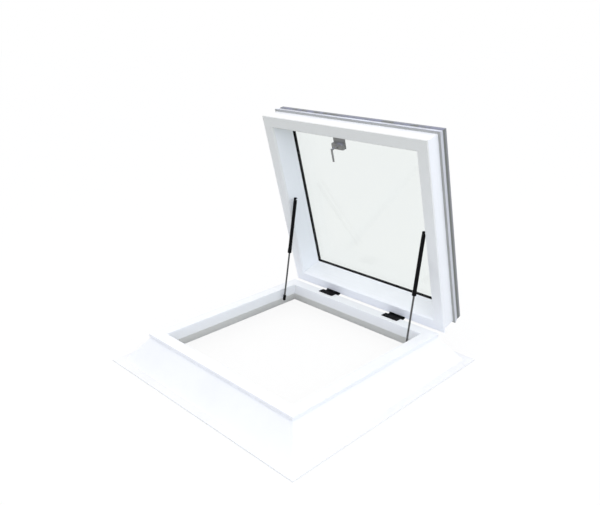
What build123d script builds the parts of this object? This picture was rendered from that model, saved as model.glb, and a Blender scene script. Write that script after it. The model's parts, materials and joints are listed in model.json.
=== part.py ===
from build123d import *
import math
import os

# Roof hatch: a splayed kerb with a glazed lid, hinged at the back and held open by two gas struts.
# Millimetres. X runs along the hinge line, -Y is the latch side, +Z is up.
# The origin is the centre of the opening, level with the underside of the base flange.

# Kerb
opening = 900.0            # clear opening between the inner faces of the rim
rim_width = 64.0           # flat top of the rim, from its inner face to the lip
rim_band = 56.0            # height of the upright inner face of the rim
rim_lip_depth = 15.8       # height of the outer lip
rim_lip_overhang = 8.0     # how far the lip stands out from the wall below it
rim_edge_radius = 2.5
kerb_height = 153.0
kerb_inner_splay = 93.0    # how far the inner face leans out from the rim to the roof
kerb_foot_width = 67.0     # thickness of the wall where it meets the flange
flange_width = 43.0
flange_thickness = 5.0

# Lid frame
lid_gap = 10.0             # closed lid above the rim
lid_side_lap = 8.5         # edge of the lid flange beyond the rim
lid_flange_thickness = 8.0
lid_flange_overhang = 10.0
lid_flange_radius = 1.5
lid_cove_height = 26.0     # hollow curve from the flange up to the body
lid_body_width = 52.5      # body of the profile, from its inner to its outer face
lid_inner_draft = 8.5      # how far the inner face leans in over its height
lid_face_bevel = 6.5
lid_face_bevel_height = 9.0
lid_body_top = 98.0
lid_lip_rise = 1.5         # slope of the underside of the drip lip
lid_lip_overhang = 12.0
lid_lip_taper = 7.0
lid_frame_depth = 128.0
ledge_start = 106.0        # depth at which the glazing ledge begins
ledge_step = 7.0
gasket_thickness = 5.5
gasket_width = 60.0

# Glazing
inner_pane_thickness = 4.0
outer_pane_thickness = 6.0
pane_cavity = 16.0
pane_edge_gap = 1.0
spacer_setback = 3.0       # spacer behind the edge of the gasket
trim_width = 7.0
trim_overhang = 1.0        # trim proud of the top edge of the frame
trim_height = 31.0
trim_radius = 6.0
trim_foot_radius = 1.0

# Hinges
open_angle = 75.0
hinge_offset = 11.5        # axis behind the lip of the rim
hinge_drop = 19.5          # axis below the top of the rim
hinge_spread = 229.0       # middle of the hatch to the middle of a hinge
hinge_length = 101.0
leaf_thickness = 3.0
kerb_leaf_depth = 36.0
lid_leaf_lap = 8.0
knuckle_radius = 7.0
knuckle_gap = 0.5
hinge_pin_radius = 3.0
pin_clearance = 0.05
leaf_swing_gap = 1.5

# Gas struts
strut_wall_gap = 16.0      # centre plane of a strut to the inner face of the rim
strut_foot_setback = 100.5 # lower pivot to the back inner face of the rim
strut_foot_drop = 54.5     # lower pivot below the top of the rim
strut_head_from_edge = 547.5   # upper pivot, from the hinge edge of the lid
strut_head_depth = 33.0        # and above the face of the lid flange
tube_radius = 10.0
tube_start = 13.0          # upper pivot to the closed end of the tube
tube_reach = 313.0         # upper pivot to the mouth of the tube
tube_end_wall = 10.0
tube_edge_chamfer = 1.2
collar_step = 1.0          # collar round the mouth of the tube
collar_length = 26.0
rod_radius = 5.0
rod_clearance = 0.06
rod_insertion = 20.0
head_radius = 9.5          # socket on the tube
foot_radius = 8.5          # socket on the rod
foot_length = 21.0         # lower pivot to the start of the rod
socket_nose = 9.0          # socket past its pivot
socket_nose_chamfer = 2.5
stud_radius = 4.0
stud_clearance = 0.05
pivot_gap = 0.5
stud_base_radius = 7.5
stud_base_thickness = 2.5

# Latch
latch_plate_width = 76.0
latch_plate_height = 52.0
latch_plate_thickness = 3.0
latch_plate_depth = 10.0       # front of the plate above the face of the lid flange
latch_leg_reach = 47.0         # leg of the plate up the inner face of the frame
latch_case_width = 72.0
latch_case_height = 28.0
latch_case_length = 20.0
latch_case_radius = 14.0
latch_case_foot = 1.0          # lower edge of the case above the lower edge of the plate
spindle_radius = 4.5
spindle_reach = 35.0
spindle_from_foot = 15.5
lever_radius = 5.0
lever_length = 67.0
lever_edge_chamfer = 1.5
tongue_thickness = 4.0
tongue_width = 8.0
tongue_gap = 13.0              # below the case
tongue_clearance = 7.0         # end of the tongue to the rim
keeper_width = 40.0
keeper_height = 28.0
keeper_thickness = 2.0
keeper_lip = 11.0
keeper_drop = 6.0              # below the top of the rim

# Worked out from the sizes above
rim_inner = opening / 2
rim_outer = rim_inner + rim_width
wall_inner_foot = rim_inner + kerb_inner_splay
wall_outer_foot = wall_inner_foot + kerb_foot_width
flange_outer = wall_outer_foot + flange_width
band_bottom = kerb_height - rim_band
lip_bottom = kerb_height - rim_lip_depth
wall_outer_top = rim_outer - rim_lip_overhang
wall_slope = (wall_outer_foot - wall_outer_top) / (lip_bottom - flange_thickness)
wall_outer_mid = wall_outer_top + wall_slope * (lip_bottom - band_bottom)
lid_base = kerb_height + lid_gap
lid_half = rim_outer + lid_side_lap
body_outer = lid_half - lid_flange_overhang
body_inner = body_outer - lid_body_width
ledge_inner = body_inner - lid_inner_draft - ledge_step
seat_depth = lid_frame_depth - gasket_thickness
lip_outer = body_outer + lid_lip_overhang
frame_top_outer = lip_outer - lid_lip_taper
lid_wall_slope = lid_inner_draft / (ledge_start - lid_face_bevel_height)
trim_outer = frame_top_outer + trim_overhang
pane_half = trim_outer - trim_width - pane_edge_gap
glass_base = lid_base + lid_frame_depth
hinge_y = rim_outer + hinge_offset
hinge_z = kerb_height - hinge_drop
strut_x = rim_inner - strut_wall_gap
foot_point = Vector(0, rim_inner - strut_foot_setback, kerb_height - strut_foot_drop)
head_closed = Vector(0, lid_half - strut_head_from_edge, lid_base + strut_head_depth)
hinge_axis = Axis((0, hinge_y, hinge_z), (1, 0, 0))
sides = {"back": 0, "left": 90, "front": 180, "right": 270}
ends = {"left": -1, "right": 1}


def opened(shape):
    """Turn a piece of the closed lid to the open position."""
    return shape.rotate(hinge_axis, -open_angle)


def ring_sides(section):
    """Four mitred lengths of one section, whose X is the distance from the centre and Y the height."""
    reach = flange_outer * 1.2
    member = extrude(Plane.YZ * section, amount=reach, both=True)
    tall = kerb_height * 4
    wedge = extrude(make_face(Polyline((0, 0), (reach, reach), (-reach, reach), close=True)), amount=tall)
    cut = member & wedge
    return {side: cut.rotate(Axis.Z, turn) for side, turn in sides.items()}


def outline(*points):
    return make_face(Polyline(*points, close=True))


def corner_round(section, near, radius):
    """Round the corner of a section that lies nearest to a point."""
    corner = section.vertices().sort_by_distance(Vector(*near))[0]
    return fillet(corner, radius)


def block(x0, x1, y0, y1, z0, z1):
    size = (x1 - x0, y1 - y0, z1 - z0)
    return Pos((x0 + x1) / 2, (y0 + y1) / 2, (z0 + z1) / 2) * Box(*size)


def rod_between(start, end, radius):
    axis = end - start
    return extrude(Plane(origin=start, z_dir=axis) * Circle(radius), amount=axis.length)


def cylinder_x(x0, x1, y, z, radius):
    return rod_between(Vector(x0, y, z), Vector(x1, y, z), radius)


def kerb_walls():
    section = outline(
        (rim_inner, band_bottom), (wall_outer_mid, band_bottom), (wall_outer_foot, flange_thickness),
        (flange_outer, flange_thickness), (flange_outer, 0), (wall_inner_foot, 0),
    )
    return ring_sides(section)


def kerb_rims():
    section = outline(
        (rim_inner, band_bottom), (rim_inner, kerb_height), (rim_outer, kerb_height),
        (rim_outer, lip_bottom), (wall_outer_top, lip_bottom), (wall_outer_mid, band_bottom),
    )
    section = corner_round(section, (rim_outer, kerb_height), rim_edge_radius)
    section = corner_round(section, (rim_inner, kerb_height), rim_edge_radius)
    return ring_sides(section)


def lid_frames():
    face_inner = body_inner + lid_face_bevel
    cove_top = lid_flange_thickness + lid_cove_height
    path = Polyline(
        (body_outer, cove_top), (body_outer, lid_body_top), (lip_outer, lid_body_top + lid_lip_rise),
        (frame_top_outer, lid_frame_depth), (ledge_inner + gasket_width, lid_frame_depth),
        (ledge_inner + gasket_width, seat_depth), (ledge_inner, seat_depth),
        (body_inner - lid_inner_draft, ledge_start), (body_inner, lid_face_bevel_height),
        (face_inner, 0), (lid_half, 0), (lid_half, lid_flange_thickness),
    )
    cove = TangentArc((body_outer, cove_top), (lid_half, lid_flange_thickness), tangent=(0, -1))
    section = make_face(path + cove)
    section = corner_round(section, (lid_half, 0), lid_flange_radius)
    return ring_sides(Pos(0, lid_base) * section)


def lid_trims():
    trim_inner = trim_outer - trim_width
    section = outline((trim_inner, 0), (trim_outer, 0), (trim_outer, trim_height), (trim_inner, trim_height))
    section = corner_round(section, (trim_outer, trim_height), trim_radius)
    section = corner_round(section, (trim_outer, 0), trim_foot_radius)
    return ring_sides(Pos(0, glass_base) * section)


def square_ring(outer, inner, z0, z1):
    return block(-outer, outer, -outer, outer, z0, z1) - block(-inner, inner, -inner, inner, z0, z1)


def glazing():
    cavity_base = glass_base + inner_pane_thickness
    outer_base = cavity_base + pane_cavity
    seat = lid_base + seat_depth
    return {
        "glazing_gasket": square_ring(ledge_inner + gasket_width, ledge_inner, seat, glass_base),
        "inner_pane": block(-pane_half, pane_half, -pane_half, pane_half, glass_base, cavity_base),
        "pane_spacer": square_ring(pane_half, ledge_inner + spacer_setback, cavity_base, outer_base),
        "outer_pane": block(-pane_half, pane_half, -pane_half, pane_half, outer_base,
                            outer_base + outer_pane_thickness),
    }


def knuckle(x0, x1):
    barrel = cylinder_x(x0, x1, hinge_y, hinge_z, knuckle_radius)
    return barrel - cylinder_x(x0, x1, hinge_y, hinge_z, hinge_pin_radius + pin_clearance)


def hinge(middle):
    """The two leaves and the pin of one hinge, with the lid closed."""
    x0 = middle - hinge_length / 2
    x1 = middle + hinge_length / 2
    third = hinge_length / 4
    lid_x0 = x0 + third + knuckle_gap
    lid_x1 = x1 - third - knuckle_gap
    leg_outer = rim_outer + leaf_thickness
    web_top = hinge_z + leaf_thickness

    kerb_leaf = block(x0, x1, rim_outer - kerb_leaf_depth, leg_outer, kerb_height,
                      kerb_height + leaf_thickness)
    kerb_leaf += block(x0, x1, rim_outer, leg_outer, hinge_z, kerb_height)
    for start, end in ((x0, x0 + third), (x1 - third, x1)):
        kerb_leaf += block(start, end, rim_outer, hinge_y, hinge_z, web_top)
        kerb_leaf -= cylinder_x(start, end, hinge_y, hinge_z, hinge_pin_radius + pin_clearance)
        kerb_leaf += knuckle(start, end)

    lap_inner = lid_half - lid_leaf_lap
    leg_inner = lid_half - leaf_thickness + pivot_gap
    leg_bottom = hinge_z + knuckle_radius + leaf_swing_gap
    lid_leaf = block(x0, x1, lap_inner, leg_inner + leaf_thickness, lid_base - leaf_thickness, lid_base)
    lid_leaf += block(x0, x1, leg_inner, leg_inner + leaf_thickness, leg_bottom, lid_base)
    lid_leaf += block(lid_x0, lid_x1, leg_inner, leg_inner + leaf_thickness, hinge_z, lid_base)
    lid_leaf -= cylinder_x(lid_x0, lid_x1, hinge_y, hinge_z, knuckle_radius)
    lid_leaf += knuckle(lid_x0, lid_x1)

    pin = cylinder_x(x0, x1, hinge_y, hinge_z, hinge_pin_radius)
    return kerb_leaf, opened(lid_leaf), pin


def eased_end(shape, along, width):
    """Chamfer the far edge of a turned piece, looking along it."""
    rim = shape.faces().sort_by(Axis((0, 0, 0), along))[-1]
    return chamfer(rim.edges(), width)


def strut_end(x_side, pivot, along, radius, length):
    """Socket at one end of a strut, from its nose past the pivot to the start of the tube or rod."""
    centre = pivot + Vector(x_side * strut_x, 0, 0)
    socket = rod_between(centre + along * length, centre - along * socket_nose, radius)
    return eased_end(socket, -along, socket_nose_chamfer)


def strut(x_side):
    """Tube, rod and end sockets of one gas strut, at full length."""
    head = opened(Vertex(*head_closed)).center()
    along = (foot_point - head).normalized()
    length = (foot_point - head).length
    top = head + Vector(x_side * strut_x, 0, 0)
    tube = rod_between(top + along * tube_start, top + along * tube_reach, tube_radius)
    tube += rod_between(top + along * (tube_reach - collar_length), top + along * tube_reach,
                        tube_radius + collar_step)
    tube = eased_end(tube, along, tube_edge_chamfer)
    tube -= rod_between(top + along * (tube_start + tube_end_wall), top + along * tube_reach, rod_radius + rod_clearance)
    rod_start = tube_reach - rod_insertion
    rod = rod_between(top + along * rod_start, top + along * (length - foot_length), rod_radius)
    head_socket = strut_end(x_side, head, along, head_radius, tube_start)
    reach = head_radius * 2
    head_socket -= cylinder_x(top.X - reach, top.X + reach, top.Y, top.Z, stud_radius + stud_clearance)
    foot_socket = strut_end(x_side, foot_point, -along, foot_radius, foot_length)
    return {"tube": tube, "tube_socket": head_socket, "rod": rod, "rod_socket": foot_socket}


def kerb_bracket(x_side):
    """Round base on the upright face of the rim with a short stud that faces the lower socket."""
    base_start = rim_inner - stud_base_thickness
    base = cylinder_x(base_start, rim_inner, foot_point.Y, foot_point.Z, stud_base_radius)
    stud = cylinder_x(strut_x + foot_radius + pivot_gap, base_start, foot_point.Y, foot_point.Z, stud_radius)
    piece = base + stud
    return piece if x_side > 0 else piece.mirror(Plane.YZ)


def lid_wall(depth):
    """Distance from the middle of the lid to the inner face of its frame, at a depth above the flange."""
    return body_inner - (depth - lid_face_bevel_height) * lid_wall_slope


def lid_bracket(x_side):
    """Round base on the inner face of the lid frame with the stud that carries the upper socket."""
    lean = math.atan(lid_wall_slope)
    wall_point = Vector(lid_wall(strut_head_depth), head_closed.Y, head_closed.Z)
    out_of_wall = Vector(-math.cos(lean), 0, -math.sin(lean))
    base = rod_between(wall_point, wall_point + out_of_wall * stud_base_thickness, stud_base_radius)
    stud_end = wall_point.X - stud_base_thickness / 2
    stud = cylinder_x(strut_x - head_radius, stud_end, head_closed.Y, head_closed.Z, stud_radius)
    piece = base + stud
    return opened(piece if x_side > 0 else piece.mirror(Plane.YZ))


def latch():
    """Plate, case and handle of the latch, on the free edge of the lid."""
    face_inner = -(body_inner + lid_face_bevel)
    plate_front = lid_base + latch_plate_depth
    plate_foot = face_inner + latch_plate_height + lid_face_bevel
    leg_foot = latch_plate_depth + latch_plate_thickness
    leg_head = leg_foot + latch_leg_reach
    plate = block(-latch_plate_width / 2, latch_plate_width / 2, -lid_wall(leg_foot), plate_foot,
                  plate_front, plate_front + latch_plate_thickness)
    leg = outline(
        (-lid_wall(leg_foot), leg_foot), (-lid_wall(leg_head), leg_head),
        (latch_plate_thickness - lid_wall(leg_head), leg_head),
        (latch_plate_thickness - lid_wall(leg_foot), leg_foot),
    )
    plate += extrude(Plane.YZ * (Pos(0, lid_base) * leg), amount=latch_plate_width / 2, both=True)

    case_foot = plate_foot - latch_case_foot
    case_head = case_foot - latch_case_height
    case_front = plate_front - latch_case_length
    half = latch_case_width / 2
    section = outline((-half, case_foot), (half, case_foot), (half, case_head), (-half, case_head))
    section = corner_round(section, (half, case_head), latch_case_radius)
    spindle_y = case_foot - spindle_from_foot
    case = Pos(0, 0, case_front) * extrude(section, amount=latch_case_length)

    spindle_end = case_front - spindle_reach
    tongue_top = case_front - tongue_gap
    tongue_tip = rim_inner - tongue_clearance + spindle_y
    spindle = rod_between(Vector(0, spindle_y, case_front), Vector(0, spindle_y, spindle_end), spindle_radius)
    tongue = block(-tongue_tip, 0, spindle_y - tongue_width / 2, spindle_y + tongue_width / 2,
                   tongue_top - tongue_thickness, tongue_top)
    tongue -= rod_between(Vector(0, spindle_y, case_front), Vector(0, spindle_y, spindle_end), spindle_radius)
    lever_start = Vector(0, spindle_y - spindle_radius, spindle_end - lever_radius)
    lever = rod_between(lever_start, lever_start + Vector(0, lever_length, 0), lever_radius)
    lever = eased_end(lever, Vector(0, 1, 0), lever_edge_chamfer)
    pieces = {"latch_plate": plate, "latch_case": case, "latch_spindle": spindle, "latch_tongue": tongue,
              "latch_lever": lever}
    return {name: opened(piece) for name, piece in pieces.items()}


def latch_keeper():
    lip_top = kerb_height - keeper_drop
    keeper = block(-keeper_width / 2, keeper_width / 2, -rim_inner, -rim_inner + keeper_thickness,
                   lip_top - keeper_height, lip_top)
    keeper += block(-keeper_width / 2, keeper_width / 2, -rim_inner, -rim_inner + keeper_lip,
                    lip_top - keeper_thickness, lip_top)
    return keeper


def build():
    nodes = {}
    walls = kerb_walls()
    rims = kerb_rims()
    frames = lid_frames()
    trims = lid_trims()
    for side in sides:
        nodes[f"kerb_wall_{side}"] = walls[side]
        nodes[f"kerb_rim_{side}"] = rims[side]
        nodes[f"lid_frame_{side}"] = opened(frames[side])
        nodes[f"lid_trim_{side}"] = opened(trims[side])
    for name, piece in glazing().items():
        nodes[name] = opened(piece)
    for end, x_side in ends.items():
        kerb_leaf, lid_leaf, pin = hinge(x_side * hinge_spread)
        nodes[f"hinge_kerb_leaf_{end}"] = kerb_leaf
        nodes[f"hinge_lid_leaf_{end}"] = lid_leaf
        nodes[f"hinge_pin_{end}"] = pin
        nodes[f"strut_kerb_bracket_{end}"] = kerb_bracket(x_side)
        nodes[f"strut_lid_bracket_{end}"] = lid_bracket(x_side)
        for name, piece in strut(x_side).items():
            nodes[f"strut_{name}_{end}"] = piece
    nodes.update(latch())
    nodes["latch_keeper"] = latch_keeper()
    return nodes


os.makedirs("parts", exist_ok=True)
for node, shape in build().items():
    export_step(shape, f"parts/{node}.step")
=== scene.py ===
"""Roof hatch: finishes, fastenings and stage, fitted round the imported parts."""

import json
import math

import bmesh
import bpy
from bpy.props import FloatProperty, FloatVectorProperty, PointerProperty
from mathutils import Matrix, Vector


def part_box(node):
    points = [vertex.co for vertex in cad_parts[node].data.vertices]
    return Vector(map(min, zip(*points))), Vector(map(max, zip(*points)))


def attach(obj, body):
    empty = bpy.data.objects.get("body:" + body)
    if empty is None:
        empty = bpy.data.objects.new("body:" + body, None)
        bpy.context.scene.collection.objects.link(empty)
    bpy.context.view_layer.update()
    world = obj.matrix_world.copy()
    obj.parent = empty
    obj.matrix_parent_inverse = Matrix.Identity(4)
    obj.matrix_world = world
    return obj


bl_info = {
    "name": "Roof hatch finishes",
    "version": (1, 0, 0),
    "blender": (4, 5, 0),
    "location": "View3D > Sidebar > Roof hatch",
    "description": "Gives the roof hatch its finishes, screws, seals and stage",
    "category": "Object",
}

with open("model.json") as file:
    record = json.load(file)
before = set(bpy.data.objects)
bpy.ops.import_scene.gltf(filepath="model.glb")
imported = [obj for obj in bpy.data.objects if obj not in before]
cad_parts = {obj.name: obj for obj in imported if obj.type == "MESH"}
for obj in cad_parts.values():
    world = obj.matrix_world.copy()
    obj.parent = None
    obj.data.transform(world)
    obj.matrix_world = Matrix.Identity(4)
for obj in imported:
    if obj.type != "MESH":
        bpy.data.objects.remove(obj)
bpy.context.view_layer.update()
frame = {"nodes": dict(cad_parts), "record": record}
NODES = frame["nodes"]

ENDS = {"left": -1, "right": 1}
OPEN_ANGLE = math.radians(75)

# Glazing rail of the lid frame: how far it stands out from the body, and its depth above the flange
RAIL_STEP = 0.0122
RAIL_START = 0.0975

# Depth of the lid flange's face and its inner bevel
BEVEL_DEPTH = 0.0092

# Seals: rounded foot of the trim, how far each is sunk in what holds it, and how far the drip seal
# stands back
TRIM_FOOT_ROUND = 0.0011
SEAL_SUNK = 0.0005
DRIP_SUNK = 0.0003
DRIP_SETBACK = 0.0012

# Screws and clips: places along a hinge, and distances in from the edge that each sits by.
# At this distance from its socket's nose a clip cuts the stud, which is a known fault.
LEAF_SCREWS = (-0.036, 0.0, 0.036)
LEAF_SCREW_INSET = 0.016
LAP_SCREW_INSET = 0.004
LEAF_THICKNESS = 0.003
CLIP_INSET = 0.005

# Places of the latch and keeper screws
PLATE_SCREW_SPREAD = 0.028
PLATE_SCREW_RISE = 0.011
LEG_SCREW_DROP = 0.014
LEG_SLOPE = 0.0876
KEEPER_SCREW_SPREAD = 0.012
KEEPER_THICKNESS = 0.002

# Rise of a pin's domed end, as a share of its radius
PIN_END_RISE = 0.4

# Tone of the lid flange's face at its latch edge, as a share of the frame's white. It follows the photo's
# shading, and the real face may be one colour.
FACE_SHADE = (0.84, 0.835, 0.79)

# Bluish tones on faces that look up, which stand for the surroundings reflected in the photo
RAIL_SKY_TONE = (0.72, 0.76, 0.86)
TRIM_SKY_TONE = (0.27, 0.28, 0.36)
SEAL_SKY_TONE = (0.23, 0.24, 0.31)
LATCH_SKY_TONE = (0.3, 0.31, 0.4)

# Lower than real glass, so that reflections stay as faint as in the photo
PANE_IOR = 1.2

# Section of a rod wiper: distance from the rod, and height above the mouth of the tube
WIPER_PROFILE = ((0.0001, 0.0012), (0.001, 0.0016), (0.0024, 0.0012), (0.003, -0.0002), (0.0001, -0.0002))

# Directions of the open lid: along the hinge, from the hinge to the latch edge, and out through the glass
ACROSS = Vector((1, 0, 0))
UP_LID = Vector((0, -math.cos(OPEN_ANGLE), math.sin(OPEN_ANGLE)))
OUT_OF_LID = Vector((0, math.sin(OPEN_ANGLE), math.cos(OPEN_ANGLE)))
OUTWARD = {"back": -UP_LID, "left": -ACROSS, "front": UP_LID, "right": ACROSS}


def named(*starts):
    """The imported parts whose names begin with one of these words."""
    return [NODES[n] for n in sorted(NODES) if n.startswith(starts)]


def joint_place(name):
    """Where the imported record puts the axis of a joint, at rest."""
    joints = frame["record"]["behaviour"]["joints"]
    return next(joint["pos_m"] for joint in joints if joint["name"] == name)


def strut_direction(end):
    """Direction of a strut, from its upper pivot to its foot."""
    joints = frame["record"]["behaviour"]["joints"]
    axis = next(joint["axis"] for joint in joints if joint["name"] == f"strut_slide_{end}")
    return -Vector(axis).normalized()


def reach_along(node, start, direction):
    """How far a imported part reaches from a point, along a direction."""
    near, far = reach_of(node, direction)
    return near - start.dot(direction), far - start.dot(direction)


def node_radius(node, start, direction):
    """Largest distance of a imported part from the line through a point."""
    return max((vertex.co - start).cross(direction).length for vertex in NODES[node].data.vertices)


def reach_of(node, direction):
    """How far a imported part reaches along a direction, from its near end to its far one."""
    spots = [vertex.co.dot(direction) for vertex in NODES[node].data.vertices]
    return min(spots), max(spots)


# Shader helpers


def add(tree, kind, **values):
    """A shader node with its properties or its input values set."""
    node = tree.nodes.new("ShaderNode" + kind)
    for key, value in values.items():
        if key in node.inputs:
            node.inputs[key].default_value = value
        else:
            setattr(node, key, value)
    return node


def join(tree, output, *sockets):
    for socket in sockets:
        tree.links.new(output, socket)


def maths(tree, operation, first, second):
    node = add(tree, "Math", operation=operation)
    for socket, value in zip(node.inputs, (first, second)):
        if isinstance(value, (int, float)):
            socket.default_value = value
        else:
            join(tree, value, socket)
    return node.outputs[0]


def spread(tree, value, low, high, start=0.0, end=1.0):
    """Map values from low..high to start..end, held at both."""
    node = add(tree, "MapRange")
    join(tree, value, node.inputs["Value"])
    for key, number in (("From Min", low), ("From Max", high), ("To Min", start), ("To Max", end)):
        node.inputs[key].default_value = number
    return node.outputs["Result"]


def blend_colours(tree, mask, first, second):
    node = add(tree, "Mix", data_type="RGBA")
    join(tree, mask, node.inputs["Factor"])
    ends = [socket for socket in node.inputs if socket.type == "RGBA"]
    for socket, value in zip(ends, (first, second)):
        if isinstance(value, bpy.types.NodeSocket):
            join(tree, value, socket)
        else:
            socket.default_value = (*value, 1)
    return [socket for socket in node.outputs if socket.type == "RGBA"][0]


def open_group(name, inputs, outputs):
    """A new shader group with named sockets, and its input and output nodes."""
    tree = bpy.data.node_groups.new(name, "ShaderNodeTree")
    for label, kind, value in inputs:
        socket = tree.interface.new_socket(label, in_out="INPUT", socket_type=kind)
        socket.default_value = value
    for label, kind in outputs:
        tree.interface.new_socket(label, in_out="OUTPUT", socket_type=kind)
    return tree, tree.nodes.new("NodeGroupInput"), tree.nodes.new("NodeGroupOutput")


def make_grain_group():
    """Fine even grain of a moulded or powder-coated surface."""
    tree, given, result = open_group(
        "Fine grain", [("Scale", "NodeSocketFloat", 900.0), ("Softness", "NodeSocketFloat", 0.5)],
        [("Height", "NodeSocketFloat"), ("Mask", "NodeSocketFloat")])
    place = add(tree, "TexCoord").outputs["Object"]
    noise = add(tree, "TexNoise", Detail=3.0)
    join(tree, place, noise.inputs["Vector"])
    join(tree, given.outputs["Scale"], noise.inputs["Scale"])
    join(tree, given.outputs["Softness"], noise.inputs["Roughness"])
    join(tree, noise.outputs["Fac"], result.inputs["Height"])
    join(tree, spread(tree, noise.outputs["Fac"], 0.35, 0.65), result.inputs["Mask"])
    return tree


def make_mottle_group():
    """Broad, faint change of colour over a surface."""
    tree, given, result = open_group(
        "Soft mottle",
        [("Scale", "NodeSocketFloat", 4.0), ("Light", "NodeSocketColor", (1, 1, 1, 1)),
         ("Dark", "NodeSocketColor", (0.9, 0.9, 0.9, 1))],
        [("Colour", "NodeSocketColor"), ("Mask", "NodeSocketFloat")])
    place = add(tree, "TexCoord").outputs["Object"]
    noise = add(tree, "TexNoise", Detail=4.0, Roughness=0.55)
    join(tree, place, noise.inputs["Vector"])
    join(tree, given.outputs["Scale"], noise.inputs["Scale"])
    mask = spread(tree, noise.outputs["Fac"], 0.38, 0.66)
    join(tree, mask, result.inputs["Mask"])
    colour = blend_colours(tree, mask, given.outputs["Light"], given.outputs["Dark"])
    join(tree, colour, result.inputs["Colour"])
    return tree


def make_drawn_group():
    """Faint lines along the length of an extruded or brushed piece."""
    tree, given, result = open_group(
        "Drawn lines",
        [("Along", "NodeSocketVector", (1, 0, 0)), ("Fineness", "NodeSocketFloat", 700.0),
         ("Stretch", "NodeSocketFloat", 4.0)],
        [("Height", "NodeSocketFloat"), ("Mask", "NodeSocketFloat")])
    place = add(tree, "TexCoord").outputs["Object"]
    reach = add(tree, "VectorMath", operation="DOT_PRODUCT")
    join(tree, place, reach.inputs[0])
    join(tree, given.outputs["Along"], reach.inputs[1])
    run = add(tree, "VectorMath", operation="SCALE")
    join(tree, given.outputs["Along"], run.inputs[0])
    join(tree, reach.outputs["Value"], run.inputs["Scale"])
    side = add(tree, "VectorMath", operation="SUBTRACT")
    join(tree, place, side.inputs[0])
    join(tree, run.outputs[0], side.inputs[1])
    fine = add(tree, "VectorMath", operation="SCALE")
    join(tree, side.outputs[0], fine.inputs[0])
    join(tree, given.outputs["Fineness"], fine.inputs["Scale"])
    slow = add(tree, "VectorMath", operation="SCALE")
    join(tree, run.outputs[0], slow.inputs[0])
    join(tree, given.outputs["Stretch"], slow.inputs["Scale"])
    both = add(tree, "VectorMath", operation="ADD")
    join(tree, fine.outputs[0], both.inputs[0])
    join(tree, slow.outputs[0], both.inputs[1])
    noise = add(tree, "TexNoise", Scale=1.0, Detail=2.0, Roughness=0.6)
    join(tree, both.outputs[0], noise.inputs["Vector"])
    join(tree, noise.outputs["Fac"], result.inputs["Height"])
    join(tree, spread(tree, noise.outputs["Fac"], 0.3, 0.7), result.inputs["Mask"])
    return tree


def make_wear_group():
    """Mask of worn edges, broken up by noise."""
    tree, given, result = open_group(
        "Edge wear",
        [("Reach", "NodeSocketFloat", 0.0015), ("Amount", "NodeSocketFloat", 0.5),
         ("Breakup", "NodeSocketFloat", 120.0)],
        [("Mask", "NodeSocketFloat")])
    rounded = add(tree, "Bevel", samples=4)
    join(tree, given.outputs["Reach"], rounded.inputs["Radius"])
    facing = add(tree, "VectorMath", operation="DOT_PRODUCT")
    join(tree, rounded.outputs["Normal"], facing.inputs[0])
    join(tree, add(tree, "NewGeometry").outputs["Normal"], facing.inputs[1])
    edge = spread(tree, facing.outputs["Value"], 0.995, 0.85)
    noise = add(tree, "TexNoise", Detail=4.0, Roughness=0.65)
    join(tree, add(tree, "TexCoord").outputs["Object"], noise.inputs["Vector"])
    join(tree, given.outputs["Breakup"], noise.inputs["Scale"])
    broken = spread(tree, noise.outputs["Fac"], 0.4, 0.62)
    mask = maths(tree, "MULTIPLY", maths(tree, "MULTIPLY", edge, broken), given.outputs["Amount"])
    join(tree, mask, result.inputs["Mask"])
    return tree


def make_dust_and_painted_sky_group():
    """Mask where a surface faces up, broken into patches. On the kerb it lays a dusting; on the frame rail,
    trim, seals and latch it lays painted sky reflection.
    """
    tree, given, result = open_group(
        "Dust and painted sky", [("Amount", "NodeSocketFloat", 0.3), ("Scale", "NodeSocketFloat", 14.0)],
        [("Mask", "NodeSocketFloat")])
    facing = add(tree, "SeparateXYZ")
    join(tree, add(tree, "NewGeometry").outputs["Normal"], facing.inputs[0])
    level = spread(tree, facing.outputs["Z"], 0.2, 0.95)
    noise = add(tree, "TexNoise", Detail=6.0, Roughness=0.7)
    join(tree, add(tree, "TexCoord").outputs["Object"], noise.inputs["Vector"])
    join(tree, given.outputs["Scale"], noise.inputs["Scale"])
    patches = spread(tree, noise.outputs["Fac"], 0.42, 0.75)
    mask = maths(tree, "MULTIPLY", maths(tree, "MULTIPLY", level, patches), given.outputs["Amount"])
    join(tree, mask, result.inputs["Mask"])
    return tree


GROUP_MAKERS = {
    "Fine grain": make_grain_group,
    "Soft mottle": make_mottle_group,
    "Drawn lines": make_drawn_group,
    "Edge wear": make_wear_group,
    "Dust and painted sky": make_dust_and_painted_sky_group,
}


def place_group(tree, name, **values):
    """Put one of the shared groups into a material, with its own values."""
    if name not in bpy.data.node_groups:
        GROUP_MAKERS[name]()
    node = add(tree, "Group", node_tree=bpy.data.node_groups[name])
    for key, value in values.items():
        node.inputs[key.replace("_", " ")].default_value = value
    return node.outputs


def new_finish(name, **values):
    """A material with its shader, whose even values are set on the shader itself."""
    material = bpy.data.materials.new(name)
    material.use_nodes = True
    tree = material.node_tree
    shader = tree.nodes["Principled BSDF"]
    for key, value in values.items():
        socket = shader.inputs[key.replace("_", " ")]
        socket.default_value = (*value, 1) if socket.type == "RGBA" else value
    return material, tree, shader


def beyond(tree, direction, start):
    """1 where the surface lies past a distance along a direction, and 0 before it."""
    reach = add(tree, "VectorMath", operation="DOT_PRODUCT")
    join(tree, add(tree, "TexCoord").outputs["Object"], reach.inputs[0])
    reach.inputs[1].default_value = direction
    return maths(tree, "GREATER_THAN", reach.outputs["Value"], start)


def raise_surface(tree, shader, height, distance, strength=1.0):
    bump = add(tree, "Bump", Strength=strength, Distance=distance)
    join(tree, height, bump.inputs["Height"])
    join(tree, bump.outputs["Normal"], shader.inputs["Normal"])


def shade(colour, share):
    return tuple(c * share for c in colour)


# Finishes


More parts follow.
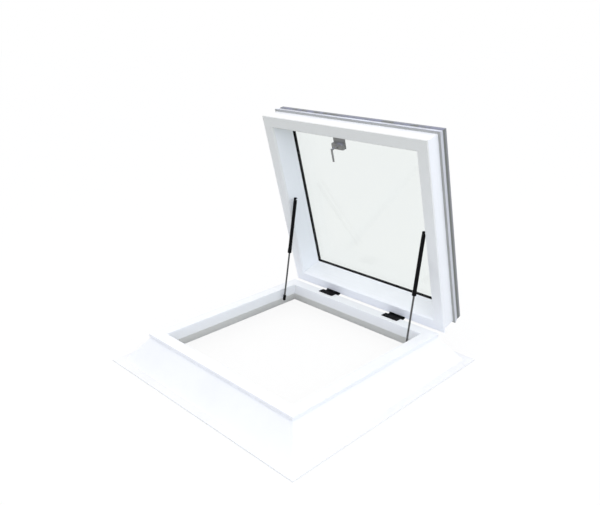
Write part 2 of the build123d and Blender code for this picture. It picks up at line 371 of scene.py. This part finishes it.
def white_moulding(colours):
    """Gel-coated kerb: smooth white with a faint orange peel and a little dusting on top."""
    material, tree, shader = new_finish("Kerb white moulding", Roughness=0.42, IOR=1.48)
    white = tuple(colours.kerb_white)
    mottle = place_group(tree, "Soft mottle", Scale=3.0, Light=(*white, 1), Dark=(*shade(white, 0.975), 1))
    dust_and_painted_sky = place_group(tree, "Dust and painted sky", Amount=0.10, Scale=9.0)
    colour = blend_colours(tree, dust_and_painted_sky["Mask"], mottle["Colour"], (0.62, 0.61, 0.58))
    join(tree, colour, shader.inputs["Base Color"])
    join(tree, spread(tree, mottle["Mask"], 0, 1, 0.38, 0.5), shader.inputs["Roughness"])
    grain = place_group(tree, "Fine grain", Scale=260.0)
    raise_surface(tree, shader, grain["Height"], 0.0003, 0.35)
    return material


def white_profile(colours, side):
    """Extruded white frame with faint draw lines, painted shade on its flange face, and its outer glazing
    rail in a greyer white with painted sky reflection where it faces up.
    """
    along = ACROSS if side in ("front", "back") else UP_LID
    material, tree, shader = new_finish(f"Frame white profile {side}", Roughness=0.3, IOR=1.5)
    white = tuple(colours.frame_white)
    mottle = place_group(tree, "Soft mottle", Scale=5.0, Light=(*white, 1), Dark=(*shade(white, 0.98), 1))
    face = reach_of(f"lid_frame_{side}", OUT_OF_LID)[0]
    edge = reach_of(f"lid_frame_{side}", OUTWARD[side])[1]
    past_body = beyond(tree, OUTWARD[side], edge - RAIL_STEP)
    rail = maths(tree, "MULTIPLY", past_body, beyond(tree, OUT_OF_LID, face + RAIL_START))
    greyer = blend_colours(tree, mottle["Mask"], colours.rail_grey, shade(colours.rail_grey, 0.97))
    rise = add(tree, "VectorMath", operation="DOT_PRODUCT")
    join(tree, add(tree, "TexCoord").outputs["Object"], rise.inputs[0])
    rise.inputs[1].default_value = UP_LID
    # Painted shade: the flange face and its inner bevel turn darker towards the latch edge, by FACE_SHADE
    share = spread(tree, rise.outputs["Value"], lid_edges("lid_frame")[2], lid_edges("lid_frame")[3])
    face_painted_shade = blend_colours(tree, share, white, tuple(w * c for w, c in zip(white, FACE_SHADE)))
    body = blend_colours(tree, beyond(tree, OUT_OF_LID, face + BEVEL_DEPTH), face_painted_shade, mottle["Colour"])
    # Painted sky reflection: a bluish tone on the rail's faces that look up
    dust_and_painted_sky = place_group(tree, "Dust and painted sky", Amount=2.0, Scale=9.0)
    rail_painted_sky = blend_colours(tree, dust_and_painted_sky["Mask"], greyer, RAIL_SKY_TONE)
    join(tree, blend_colours(tree, rail, body, rail_painted_sky), shader.inputs["Base Color"])
    lines = place_group(tree, "Drawn lines", Along=along, Fineness=520.0)
    join(tree, spread(tree, lines["Mask"], 0, 1, 0.26, 0.38), shader.inputs["Roughness"])
    raise_surface(tree, shader, lines["Height"], 0.00015, 0.4)
    return material


def grey_trim(colours, side):
    """Anodised edge trim round the glass, with painted sky reflection where it faces up."""
    along = ACROSS if side in ("front", "back") else UP_LID
    material, tree, shader = new_finish(f"Trim anodised {side}", Metallic=0.3, Specular_IOR_Level=0.3)
    grey = tuple(colours.trim_grey)
    lines = place_group(tree, "Drawn lines", Along=along, Fineness=1600.0)
    wear = place_group(tree, "Edge wear", Reach=0.0012, Amount=0.35)
    colour = blend_colours(tree, lines["Mask"], shade(grey, 0.9), shade(grey, 1.08))
    colour = blend_colours(tree, wear["Mask"], colour, (0.55, 0.56, 0.6))
    # Painted sky reflection: a bluish tone on the trim's faces that look up
    dust_and_painted_sky = place_group(tree, "Dust and painted sky", Amount=2.0, Scale=20.0)
    join(tree, blend_colours(tree, dust_and_painted_sky["Mask"], colour, TRIM_SKY_TONE), shader.inputs["Base Color"])
    join(tree, spread(tree, lines["Mask"], 0, 1, 0.28, 0.46), shader.inputs["Roughness"])
    raise_surface(tree, shader, lines["Height"], 0.0001, 0.5)
    return material


def pane_glass(colours):
    """Clear glass, which lets light through to what is behind it."""
    material, tree, shader = new_finish("Pane glass", Base_Color=tuple(colours.glass_tint), Roughness=0.0,
                                        IOR=PANE_IOR, Transmission_Weight=1.0)
    path = add(tree, "LightPath")
    lit = maths(tree, "MAXIMUM", path.outputs["Is Shadow Ray"], path.outputs["Is Diffuse Ray"])
    clear = add(tree, "BsdfTransparent")
    clear.inputs["Color"].default_value = (*shade(colours.glass_tint, 1.04), 1)
    mixed = add(tree, "MixShader")
    join(tree, lit, mixed.inputs[0])
    join(tree, shader.outputs[0], mixed.inputs[1])
    join(tree, clear.outputs[0], mixed.inputs[2])
    join(tree, mixed.outputs[0], tree.nodes["Material Output"].inputs["Surface"])
    return material


def seal_rubber(colours):
    material, tree, shader = new_finish("Seal black rubber", Specular_IOR_Level=0.1)
    black = tuple(colours.seal_black)
    grain = place_group(tree, "Fine grain", Scale=1400.0)
    join(tree, blend_colours(tree, grain["Mask"], black, shade(black, 1.5)), shader.inputs["Base Color"])
    join(tree, spread(tree, grain["Mask"], 0, 1, 0.6, 0.78), shader.inputs["Roughness"])
    raise_surface(tree, shader, grain["Height"], 0.0001, 0.5)
    return material


def edge_seal(name, colour):
    """Dull grey strip, slightly uneven, with painted sky reflection where it faces up. Its tone follows the
    bands on the trim and rail in the photo.
    """
    material, tree, shader = new_finish(name, Specular_IOR_Level=0.15)
    mottle = place_group(tree, "Soft mottle", Scale=9.0, Light=(*colour, 1), Dark=(*shade(colour, 0.93), 1))
    grain = place_group(tree, "Fine grain", Scale=1200.0)
    # Painted sky reflection: a bluish tone on the seal's faces that look up
    dust_and_painted_sky = place_group(tree, "Dust and painted sky", Amount=4.0, Scale=20.0)
    mottle_and_painted_sky = blend_colours(tree, dust_and_painted_sky["Mask"], mottle["Colour"], SEAL_SKY_TONE)
    join(tree, mottle_and_painted_sky, shader.inputs["Base Color"])
    join(tree, spread(tree, grain["Mask"], 0, 1, 0.55, 0.7), shader.inputs["Roughness"])
    raise_surface(tree, shader, grain["Height"], 0.0001, 0.4)
    return material


def black_coat(colours, name, roughness, scale, worn):
    """Black powder coat, worn on its edges."""
    material, tree, shader = new_finish(name, Specular_IOR_Level=0.05)
    black = tuple(colours.fitting_black)
    grain = place_group(tree, "Fine grain", Scale=scale)
    wear = place_group(tree, "Edge wear", Reach=0.0008, Amount=worn)
    colour = blend_colours(tree, grain["Mask"], shade(black, 0.8), shade(black, 1.25))
    join(tree, blend_colours(tree, wear["Mask"], colour, (0.05, 0.05, 0.052)), shader.inputs["Base Color"])
    low, high = roughness - 0.06, roughness + 0.06
    join(tree, spread(tree, grain["Mask"], 0, 1, low, high), shader.inputs["Roughness"])
    raise_surface(tree, shader, grain["Height"], 0.00012, 0.5)
    return material


def bright_rod(colours):
    """Ground and plated strut rod, faintly scored along its length by the seal."""
    material, tree, shader = new_finish("Rod plated steel", Metallic=1.0)
    grey = tuple(colours.rod_grey)
    lines = place_group(tree, "Drawn lines", Along=UP_LID, Fineness=2400.0)
    colour = blend_colours(tree, lines["Mask"], shade(grey, 0.88), shade(grey, 1.1))
    join(tree, colour, shader.inputs["Base Color"])
    join(tree, spread(tree, lines["Mask"], 0, 1, 0.16, 0.3), shader.inputs["Roughness"])
    return material


def bracket_paint(colours, name):
    """White paint on the strut studs and on the keeper."""
    material, tree, shader = new_finish(name, Specular_IOR_Level=0.4)
    white = tuple(colours.frame_white)
    grain = place_group(tree, "Fine grain", Scale=1300.0)
    wear = place_group(tree, "Edge wear", Reach=0.0006, Amount=0.3)
    colour = blend_colours(tree, grain["Mask"], white, shade(white, 0.96))
    join(tree, blend_colours(tree, wear["Mask"], colour, (0.5, 0.5, 0.52)), shader.inputs["Base Color"])
    join(tree, spread(tree, grain["Mask"], 0, 1, 0.3, 0.42), shader.inputs["Roughness"])
    return material


def latch_metal(colours):
    """Satin cast latch metal, with painted sky reflection where it faces up."""
    material, tree, shader = new_finish("Latch satin metal", Metallic=0.3)
    grey = tuple(colours.latch_grey)
    grain = place_group(tree, "Fine grain", Scale=800.0)
    wear = place_group(tree, "Edge wear", Reach=0.001, Amount=0.5)
    colour = blend_colours(tree, grain["Mask"], shade(grey, 0.92), shade(grey, 1.08))
    colour = blend_colours(tree, wear["Mask"], colour, (0.3, 0.3, 0.31))
    # Painted sky reflection: a bluish tone on the latch's faces that look up
    dust_and_painted_sky = place_group(tree, "Dust and painted sky", Amount=1.6, Scale=30.0)
    join(tree, blend_colours(tree, dust_and_painted_sky["Mask"], colour, LATCH_SKY_TONE), shader.inputs["Base Color"])
    join(tree, spread(tree, grain["Mask"], 0, 1, 0.36, 0.5), shader.inputs["Roughness"])
    raise_surface(tree, shader, grain["Height"], 0.0001, 0.4)
    return material


def pin_metal(colours):
    material, tree, shader = new_finish("Pin plain steel", Metallic=1.0)
    grain = place_group(tree, "Fine grain", Scale=1500.0)
    colour = blend_colours(tree, grain["Mask"], (0.36, 0.36, 0.37), (0.48, 0.48, 0.5))
    join(tree, colour, shader.inputs["Base Color"])
    join(tree, spread(tree, grain["Mask"], 0, 1, 0.25, 0.4), shader.inputs["Roughness"])
    return material


# Mesh helpers


def dress(objects, material, edge=0.0, segments=2):
    """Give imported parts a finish, and round their edges by a bevel of that width."""
    for part in objects:
        part.data.materials.clear()
        part.data.materials.append(material)
        if edge:
            weld = part.modifiers.new("Join faces", "WELD")
            weld.merge_threshold = 0.00001
            bevel = part.modifiers.new("Round edges", "BEVEL")
            bevel.width = edge
            bevel.segments = segments
            bevel.limit_method = "ANGLE"
            bevel.angle_limit = math.radians(35)
            bevel.harden_normals = True


def finished(name, mesh, material, body):
    """Put a new mesh into the scene, on its body and with its slot."""
    piece = bpy.data.objects.new(name, mesh)
    bpy.context.scene.collection.objects.link(piece)
    mesh.materials.append(material)
    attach(piece, body)
    return piece


def turned(shape, place, axis, rings, dent=None, segments=32, hoop=False):
    """Add a closed turned form. Each ring is a radius and a height along the axis, from tip to root.
    A hoop joins its last ring to its first."""
    turn = axis.to_track_quat("Z", "Y")
    loops = []
    for radius, height in rings:
        count = segments if radius else 1
        loop = []
        for step in range(count):
            angle = math.tau * step / count
            x, y = radius * math.cos(angle), radius * math.sin(angle)
            sunk = dent(abs(x), abs(y)) if dent else 0.0
            loop.append(shape.verts.new(place + turn @ Vector((x, y, height - sunk))))
        loops.append(loop)
    lower_loops = loops[1:] + loops[:1] if hoop else loops[1:]
    for upper, lower in zip(loops, lower_loops):
        for step in range(segments):
            after = (step + 1) % segments
            if len(upper) == 1:
                corners = [upper[0], lower[step], lower[after]]
            else:
                corners = [upper[step], lower[step], lower[after], upper[after]]
            shape.faces.new(corners)
    if not hoop:
        shape.faces.new(loops[-1][::-1])


def lid_point(across, up, out):
    return ACROSS * across + UP_LID * up + OUT_OF_LID * out


def square_hoop(shape, sides, outer, inner, low, high):
    """Add a square hoop in the plane of the lid. Sides are its left, right, hinge and latch edges;
    outer and inner are how far its two faces stand out from them."""
    left, right, back, front = sides
    loops = []
    for step, out in ((outer, low), (outer, high), (inner, high), (inner, low)):
        corners = ((left - step, back - step), (right + step, back - step),
                   (right + step, front + step), (left - step, front + step))
        loops.append([shape.verts.new(lid_point(across, up, out)) for across, up in corners])
    for first, second in zip(loops, loops[1:] + loops[:1]):
        for step in range(4):
            after = (step + 1) % 4
            shape.faces.new([first[step], first[after], second[after], second[step]])


def lid_edges(node):
    """Left, right, hinge and latch edges of the four lengths that make up a frame."""
    return (reach_of(f"{node}_left", ACROSS)[0], reach_of(f"{node}_right", ACROSS)[1],
            reach_of(f"{node}_back", UP_LID)[0], reach_of(f"{node}_front", UP_LID)[1])


def collect(name, shape, material, body, smooth=40):
    """Turn the faces gathered so far into one finished piece."""
    bmesh.ops.recalc_face_normals(shape, faces=shape.faces)
    mesh = bpy.data.meshes.new(name)
    shape.to_mesh(mesh)
    shape.free()
    mesh.shade_smooth()
    mesh.set_sharp_from_angle(angle=math.radians(smooth))
    return finished(name, mesh, material, body)


def screws(name, spots, axis, diameter, rise, material, body):
    """Domed screw heads with a cross recess, one at each spot, facing along the axis."""
    radius = diameter / 2

    def cross(x, y):
        in_arm = min(x, y) < 0.12 * radius and max(x, y) < 0.5 * radius
        return 0.45 * rise if in_arm else 0.0

    steps = [n / 14 for n in range(15)]
    dome = [(radius * n, rise * math.sqrt(1 - 0.85 * n * n)) for n in steps]
    shape = bmesh.new()
    for spot in spots:
        turned(shape, spot, axis, dome + [(radius, -0.0003)], cross)
    return collect(name, shape, material, body)


def wire_rings(radius, wire, count=12):
    """Rings of a round wire bent into a hoop."""
    angles = [math.tau * n / count for n in range(count)]
    return [(radius + wire * math.sin(a), wire * math.cos(a)) for a in angles]


# Sizes and colours


def colour_setting(label, about, value):
    return FloatVectorProperty(name=label, description=about, default=value, subtype="COLOR", size=3,
                               min=0, max=1)


class HatchColours(bpy.types.PropertyGroup):
    """Colours of the finishes"""

    kerb_white: colour_setting("Kerb white", "Moulded kerb", (0.86, 0.87, 0.885))
    frame_white: colour_setting("Frame white", "Lid frame", (0.86, 0.87, 0.885))
    rail_grey: colour_setting("Rail grey", "Glazing rail round the lid frame", (0.54, 0.55, 0.59))
    trim_grey: colour_setting("Trim grey", "Edge trim round the glass", (0.25, 0.258, 0.27))
    seal_olive: colour_setting("Seal olive", "Seal at the foot of the edge trim", (0.175, 0.182, 0.165))
    # Drip seal grey: partly a seal's own colour and partly painted shade under the glazing rail's lip
    drip_grey: colour_setting("Drip seal grey", "Drip seal under the glazing rail", (0.4, 0.405, 0.39))
    glass_tint: colour_setting("Glass tint", "Colour of each pane", (0.925, 0.942, 0.935))
    seal_black: colour_setting("Seal black", "Gasket and spacer", (0.006, 0.006, 0.006))
    fitting_black: colour_setting("Fitting black", "Hinges and struts", (0.0045, 0.0045, 0.005))
    rod_grey: colour_setting("Rod grey", "Plated rod of each strut", (0.12, 0.12, 0.122))
    latch_grey: colour_setting("Latch grey", "Latch and handle", (0.235, 0.235, 0.225))


def length_setting(label, about, value):
    return FloatProperty(name=label, description=about, default=value, min=0, subtype="DISTANCE",
                         unit="LENGTH")


class FasteningSizes(bpy.types.PropertyGroup):
    """Sizes of the screws, clips and rings"""

    leaf_screw: length_setting("Leaf screw", "Head of each screw in a hinge's kerb leaf", 0.008)
    lap_screw: length_setting("Lap screw", "Head of each screw in a hinge's lid leaf", 0.005)
    plate_screw: length_setting("Plate screw", "Head of each screw in the latch plate and the keeper", 0.007)
    screw_rise: length_setting("Screw rise", "Height of a screw head above what it holds", 0.0012)
    rose_radius: length_setting("Rose radius", "Ring round the spindle on the latch case", 0.0085)
    clip_wire: length_setting("Clip wire", "Half the thickness of the wire clip round a strut socket", 0.0008)
    seal_height: length_setting("Seal height", "Height of the seal at the foot of the edge trim", 0.013)
    seal_proud: length_setting("Seal stand", "How far that seal stands out from the trim", 0.0004)
    drip_depth: length_setting("Drip seal depth", "Thickness of the drip seal under the glazing rail", 0.0012)


class StageSettings(bpy.types.PropertyGroup):
    """Camera, lamps and floor"""

    focal_length: FloatProperty(name="Focal length", description="Lens for a 36 mm sensor, in millimetres",
                                default=38.986, min=10, max=200)
    camera_place: FloatVectorProperty(name="Camera place", description="Where the camera stands", size=3,
                                      default=(2.0866, -2.0541, 1.6511), subtype="TRANSLATION", unit="LENGTH")
    turn: FloatProperty(name="Turn", description="Direction of view, from the back to the left",
                        unit="ROTATION", subtype="ANGLE", default=math.radians(44.8533))
    tilt: FloatProperty(name="Tilt", description="Angle of the view below level", unit="ROTATION",
                        subtype="ANGLE", default=math.radians(19.9804))
    floor_size: FloatProperty(name="Floor size", description="Length of the floor's side", unit="LENGTH",
                              subtype="DISTANCE", default=60.0, min=5)
    sky_strength: FloatProperty(name="Sky strength", description="Light from all round", default=1.0, min=0)
    lamp_power: FloatProperty(name="Lamp power", description="Power of the soft lamp overhead, in watts",
                              default=10.0, min=0)
    side_lamp_power: FloatProperty(name="Side lamp power",
                                   description="Power of the soft lamp at the right, in watts",
                                   default=35.0, min=0)


# Pieces


class HATCH_OT_finish_kerb(bpy.types.Operator):
    """Give the kerb its white moulded finish"""

    bl_idname = "hatch.finish_kerb"
    bl_label = "Finish kerb"

    def execute(self, context):
        colours = context.scene.hatch_colours
        dress(named("kerb_"), white_moulding(colours))
        return {"FINISHED"}


class HATCH_OT_finish_lid(bpy.types.Operator):
    """Give the lid frame and its edge trim their finishes"""

    bl_idname = "hatch.finish_lid"
    bl_label = "Finish lid"

    def execute(self, context):
        colours = context.scene.hatch_colours
        for side in OUTWARD:
            dress([NODES[f"lid_frame_{side}"]], white_profile(colours, side))
            dress([NODES[f"lid_trim_{side}"]], grey_trim(colours, side))
        return {"FINISHED"}


class HATCH_OT_seal_lid(bpy.types.Operator):
    """Fit the seal at the foot of the edge trim and the drip seal under the glazing rail"""

    bl_idname = "hatch.seal_lid"
    bl_label = "Seal lid"

    def execute(self, context):
        colours = context.scene.hatch_colours
        sizes = context.scene.hatch_fastenings
        foot = reach_of("lid_trim_back", OUT_OF_LID)[0] + TRIM_FOOT_ROUND
        shape = bmesh.new()
        top = foot + sizes.seal_height
        square_hoop(shape, lid_edges("lid_trim"), sizes.seal_proud, -SEAL_SUNK, foot, top)
        olive = edge_seal("Trim foot seal", colours.seal_olive)
        collect("trim_foot_seal", shape, olive, "lid")
        under = reach_of("lid_frame_back", OUT_OF_LID)[0] + RAIL_START
        shape = bmesh.new()
        inner = -RAIL_STEP - DRIP_SUNK
        square_hoop(shape, lid_edges("lid_frame"), -DRIP_SETBACK, inner, under, under + sizes.drip_depth)
        # The drip seal's grey is partly a seal's own colour and partly painted shade under the glazing rail's
        # lip
        grey = edge_seal("Rail drip seal", colours.drip_grey)
        collect("rail_drip_seal", shape, grey, "lid")
        return {"FINISHED"}


class HATCH_OT_glaze(bpy.types.Operator):
    """Finish the panes, the spacer between them and the gasket"""

    bl_idname = "hatch.glaze"
    bl_label = "Glaze lid"

    def execute(self, context):
        colours = context.scene.hatch_colours
        dress([NODES["inner_pane"], NODES["outer_pane"]], pane_glass(colours))
        dress([NODES["pane_spacer"], NODES["glazing_gasket"]], seal_rubber(colours))
        return {"FINISHED"}


class HATCH_OT_fit_hinges(bpy.types.Operator):
    """Finish the hinges and fit their screws"""

    bl_idname = "hatch.fit_hinges"
    bl_label = "Fit hinges"

    def execute(self, context):
        colours = context.scene.hatch_colours
        coat = black_coat(colours, "Hinge black coat", 0.55, 1100.0, 0.2)
        dress(named("hinge_kerb_leaf", "hinge_lid_leaf"), coat, 0.0005)
        steel = pin_metal(colours)
        dress(named("hinge_pin"), steel)
        sizes = context.scene.hatch_fastenings
        screw_coat = black_coat(colours, "Screw black plating", 0.36, 2200.0, 0.8)
        face = reach_of("lid_frame_back", OUT_OF_LID)[0] - LEAF_THICKNESS
        for end in ENDS:
            low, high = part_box(f"hinge_kerb_leaf_{end}")
            middle = (low[0] + high[0]) / 2
            spots = [Vector((middle + shift, low[1] + LEAF_SCREW_INSET, high[2])) for shift in LEAF_SCREWS]
            screws(f"leaf_screws_{end}", spots, Vector((0, 0, 1)), sizes.leaf_screw, sizes.screw_rise / 2,
                   screw_coat, "kerb")
            edge = reach_of(f"hinge_lid_leaf_{end}", UP_LID)[1]
            spots = [lid_point(middle + shift, edge - LAP_SCREW_INSET, face) for shift in LEAF_SCREWS]
            screws(f"lap_screws_{end}", spots, -OUT_OF_LID, sizes.lap_screw, sizes.screw_rise / 2,
                   screw_coat, "lid")
            low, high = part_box(f"hinge_pin_{end}")
            shape = bmesh.new()
            centre = Vector((0, (low[1] + high[1]) / 2, (low[2] + high[2]) / 2))
            radius = (high[2] - low[2]) / 2
            angles = [n * math.pi / 16 for n in range(9)]
            dome = [(radius * math.sin(a), PIN_END_RISE * radius * math.cos(a)) for a in angles]
            turned(shape, centre + ACROSS * high[0], ACROSS, dome)
            turned(shape, centre + ACROSS * low[0], -ACROSS, dome)
            collect(f"pin_ends_{end}", shape, steel, "kerb", 60)
        return {"FINISHED"}


class HATCH_OT_fit_struts(bpy.types.Operator):
    """Finish the gas struts and fit their wipers and clips"""

    bl_idname = "hatch.fit_struts"
    bl_label = "Fit struts"

    def execute(self, context):
        colours = context.scene.hatch_colours
        coat = black_coat(colours, "Strut black coat", 0.3, 500.0, 0.25)
        nylon = black_coat(colours, "Socket black nylon", 0.48, 900.0, 0.1)
        dress(named("strut_tube_left", "strut_tube_right"), coat)
        dress(named("strut_tube_socket", "strut_rod_socket"), nylon)
        dress([NODES["strut_rod_left"], NODES["strut_rod_right"]], bright_rod(colours))
        paint = bracket_paint(colours, "Bracket white paint")
        dress(named("strut_kerb_bracket", "strut_lid_bracket"), paint, 0.0004)
        clip_wire = context.scene.hatch_fastenings.clip_wire
        for end in ENDS:
            head = Vector(joint_place(f"strut_head_{end}"))
            along = strut_direction(end)
            mouth = reach_along(f"strut_tube_{end}", head, along)[1]
            rod = node_radius(f"strut_rod_{end}", head, along)
            shape = bmesh.new()
            rings = [(rod + width, height) for width, height in WIPER_PROFILE]
            turned(shape, head + along * mouth, along, rings, segments=48, hoop=True)
            collect(f"rod_wiper_{end}", shape, nylon, f"tube_{end}")
            for part, body in (("tube_socket", f"tube_{end}"), ("rod_socket", f"rod_{end}")):
                node = f"strut_{part}_{end}"
                near, far = reach_along(node, head, along)
                radius = node_radius(node, head, along)
                side = near + CLIP_INSET if part == "tube_socket" else far - CLIP_INSET
                shape = bmesh.new()
                rings = wire_rings(radius, clip_wire)
                turned(shape, head + along * side, along, rings, segments=48, hoop=True)
                collect(f"{part}_clip_{end}", shape, coat, body, 60)
        return {"FINISHED"}


class HATCH_OT_fit_latch(bpy.types.Operator):
    """Finish the latch, its handle and its keeper"""

    bl_idname = "hatch.fit_latch"
    bl_label = "Fit latch"

    def execute(self, context):
        colours = context.scene.hatch_colours
        metal = latch_metal(colours)
        paint = bracket_paint(colours, "Keeper white paint")
        dress(named("latch_plate", "latch_case", "latch_tongue"), metal, 0.0005)
        dress(named("latch_spindle", "latch_lever"), metal)
        sizes = context.scene.hatch_fastenings
        case_head = reach_of("latch_case", UP_LID)[1]
        case_front = reach_of("latch_case", OUT_OF_LID)[0]
        plate_front, leg_end = reach_of("latch_plate", OUT_OF_LID)
        leg = min(v.co.dot(UP_LID) for v in NODES["latch_plate"].data.vertices
                  if v.co.dot(OUT_OF_LID) > leg_end - 0.001)
        pair = (-PLATE_SCREW_SPREAD, PLATE_SCREW_SPREAD)
        spots = [lid_point(across, case_head + PLATE_SCREW_RISE, plate_front) for across in pair]
        screws("latch_plate_screws", spots, -OUT_OF_LID, sizes.plate_screw, sizes.screw_rise, metal,
               "lid")
        leg_face = leg + LEG_SCREW_DROP * LEG_SLOPE
        spots = [lid_point(across, leg_face, leg_end - LEG_SCREW_DROP) for across in pair]
        out_of_leg = -UP_LID - OUT_OF_LID * LEG_SLOPE
        screws("latch_leg_screws", spots, out_of_leg, sizes.plate_screw, sizes.screw_rise, metal,
               "lid")
        dress([NODES["latch_keeper"]], paint, 0.0005)
        low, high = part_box("latch_keeper")
        spots = [Vector((across, low[1] + KEEPER_THICKNESS, low[2] + 0.01))
                 for across in (-KEEPER_SCREW_SPREAD, KEEPER_SCREW_SPREAD)]
        screws("keeper_screws", spots, Vector((0, 1, 0)), sizes.plate_screw, sizes.screw_rise, paint,
               "kerb")
        near, far = reach_of("latch_spindle", UP_LID)
        shape = bmesh.new()
        hole = (far - near) / 2 + 0.0003
        rings = [(sizes.rose_radius - 0.003, 0.0014), (sizes.rose_radius - 0.001, 0.0011),
                 (sizes.rose_radius, -0.0003), (hole, -0.0003), (hole, 0.0014)]
        turned(shape, lid_point(0, (near + far) / 2, case_front), -OUT_OF_LID, rings, segments=48, hoop=True)
        collect("spindle_rose", shape, metal, "lid")
        return {"FINISHED"}


# Stage


def seen_rays(tree):
    """1 for rays that see the background: from the camera, or by way of gloss or glass."""
    path = add(tree, "LightPath")
    first = maths(tree, "MAXIMUM", path.outputs["Is Camera Ray"], path.outputs["Is Glossy Ray"])
    return maths(tree, "MAXIMUM", first, path.outputs["Is Transmission Ray"])


def lay_floor(size):
    """Pale floor that looks white and keeps a light shadow."""
    mesh = bpy.data.meshes.new("Floor")
    half = size / 2
    corners = [(-half, -half, 0), (half, -half, 0), (half, half, 0), (-half, half, 0)]
    mesh.from_pydata(corners, [], [(0, 1, 2, 3)])
    floor = bpy.data.objects.new("Floor", mesh)
    floor.location.z = -0.0005
    bpy.context.scene.collection.objects.link(floor)
    material = bpy.data.materials.new("Pale floor")
    material.use_nodes = True
    tree = material.node_tree
    tree.nodes.clear()
    seen = seen_rays(tree)
    matt = add(tree, "BsdfDiffuse")
    join(tree, blend_colours(tree, seen, (0.4, 0.4, 0.35), (0.9, 0.9, 0.9)), matt.inputs["Color"])
    white = add(tree, "Emission", Strength=1.0)
    white.inputs["Color"].default_value = (1, 1, 1, 1)
    mixed = add(tree, "MixShader")
    join(tree, maths(tree, "MULTIPLY", seen, 0.9), mixed.inputs[0])
    join(tree, matt.outputs[0], mixed.inputs[1])
    join(tree, white.outputs[0], mixed.inputs[2])
    join(tree, mixed.outputs[0], add(tree, "OutputMaterial").inputs["Surface"])
    mesh.materials.append(material)


def light_sky(strength):
    """Soft light from all round, white above and faintly blue at the sides, seen as white."""
    world = bpy.data.worlds.new("Studio sky")
    bpy.context.scene.world = world
    world.use_nodes = True
    tree = world.node_tree
    tree.nodes.clear()
    height = add(tree, "SeparateXYZ")
    join(tree, add(tree, "TexCoord").outputs["Generated"], height.inputs[0])
    rise = spread(tree, height.outputs["Z"], 0.0, 1.0)
    sky = blend_colours(tree, rise, (1.36, 1.47, 1.78), (0.97, 0.915, 0.81))
    light = add(tree, "Background", Strength=strength)
    join(tree, sky, light.inputs["Color"])
    plain = add(tree, "Background", Strength=1.0)
    plain.inputs["Color"].default_value = (1, 1, 1, 1)
    mixed = add(tree, "MixShader")
    join(tree, seen_rays(tree), mixed.inputs[0])
    join(tree, light.outputs[0], mixed.inputs[1])
    join(tree, plain.outputs[0], mixed.inputs[2])
    join(tree, mixed.outputs[0], add(tree, "OutputWorld").inputs["Surface"])


def hang_lamp(name, place, target, size, power, colour=(1, 1, 1)):
    lamp = bpy.data.lights.new(name, "AREA")
    lamp.color = colour
    lamp.shape = "DISK"
    lamp.size = size
    lamp.energy = power
    holder = bpy.data.objects.new(name, lamp)
    holder.location = place
    holder.rotation_euler = (Vector(target) - Vector(place)).to_track_quat("-Z", "Y").to_euler()
    holder.visible_camera = False
    bpy.context.scene.collection.objects.link(holder)


def stand_camera(stage):
    camera = bpy.data.cameras.new("Camera")
    camera.sensor_width = 36
    camera.lens = stage.focal_length
    holder = bpy.data.objects.new("Camera", camera)
    holder.location = stage.camera_place
    level = math.cos(stage.tilt)
    sight = Vector((-math.sin(stage.turn) * level, math.cos(stage.turn) * level, -math.sin(stage.tilt)))
    holder.rotation_euler = sight.to_track_quat("-Z", "Y").to_euler()
    bpy.context.scene.collection.objects.link(holder)
    bpy.context.scene.camera = holder


class HATCH_OT_set_stage(bpy.types.Operator):
    """Lay the floor, light it and stand the camera"""

    bl_idname = "hatch.set_stage"
    bl_label = "Set stage"

    def execute(self, context):
        stage = context.scene.hatch_stage
        lay_floor(stage.floor_size)
        light_sky(stage.sky_strength)
        hang_lamp("Soft lamp overhead", (0.6, -1.0, 4.2), (0, 0, 0.3), 3.0, stage.lamp_power)
        hang_lamp("Soft lamp at the right", (3.4, -1.0, 2.4), (0, 0.2, 0.5), 3.0, stage.side_lamp_power,
                  (0.86, 0.92, 1.0))
        stand_camera(stage)
        context.scene.view_settings.view_transform = "Standard"
        return {"FINISHED"}


STEPS = (
    HATCH_OT_finish_kerb,
    HATCH_OT_finish_lid,
    HATCH_OT_seal_lid,
    HATCH_OT_glaze,
    HATCH_OT_fit_hinges,
    HATCH_OT_fit_struts,
    HATCH_OT_fit_latch,
    HATCH_OT_set_stage,
)


class HATCH_PT_sidebar(bpy.types.Panel):
    """Steps that dress the roof hatch, and its colours and stage"""

    bl_idname = "HATCH_PT_sidebar"
    bl_label = "Roof hatch"
    bl_space_type = "VIEW_3D"
    bl_region_type = "UI"
    bl_category = "Roof hatch"

    def draw(self, context):
        for step in STEPS:
            self.layout.operator(step.bl_idname)
        scene = context.scene
        for settings in (scene.hatch_colours, scene.hatch_fastenings, scene.hatch_stage):
            column = self.layout.column()
            for key in settings.__annotations__:
                column.prop(settings, key)


CLASSES = (HatchColours, FasteningSizes, StageSettings, *STEPS, HATCH_PT_sidebar)


def register():
    for entry in CLASSES:
        bpy.utils.register_class(entry)
    bpy.types.Scene.hatch_colours = PointerProperty(type=HatchColours)
    bpy.types.Scene.hatch_fastenings = PointerProperty(type=FasteningSizes)
    bpy.types.Scene.hatch_stage = PointerProperty(type=StageSettings)


def unregister():
    del bpy.types.Scene.hatch_stage
    del bpy.types.Scene.hatch_fastenings
    del bpy.types.Scene.hatch_colours
    for entry in reversed(CLASSES):
        bpy.utils.unregister_class(entry)


def main():
    register()
    for step in STEPS:
        group, call = step.bl_idname.split(".")
        getattr(getattr(bpy.ops, group), call)()


if __name__ == "__main__":
    main()
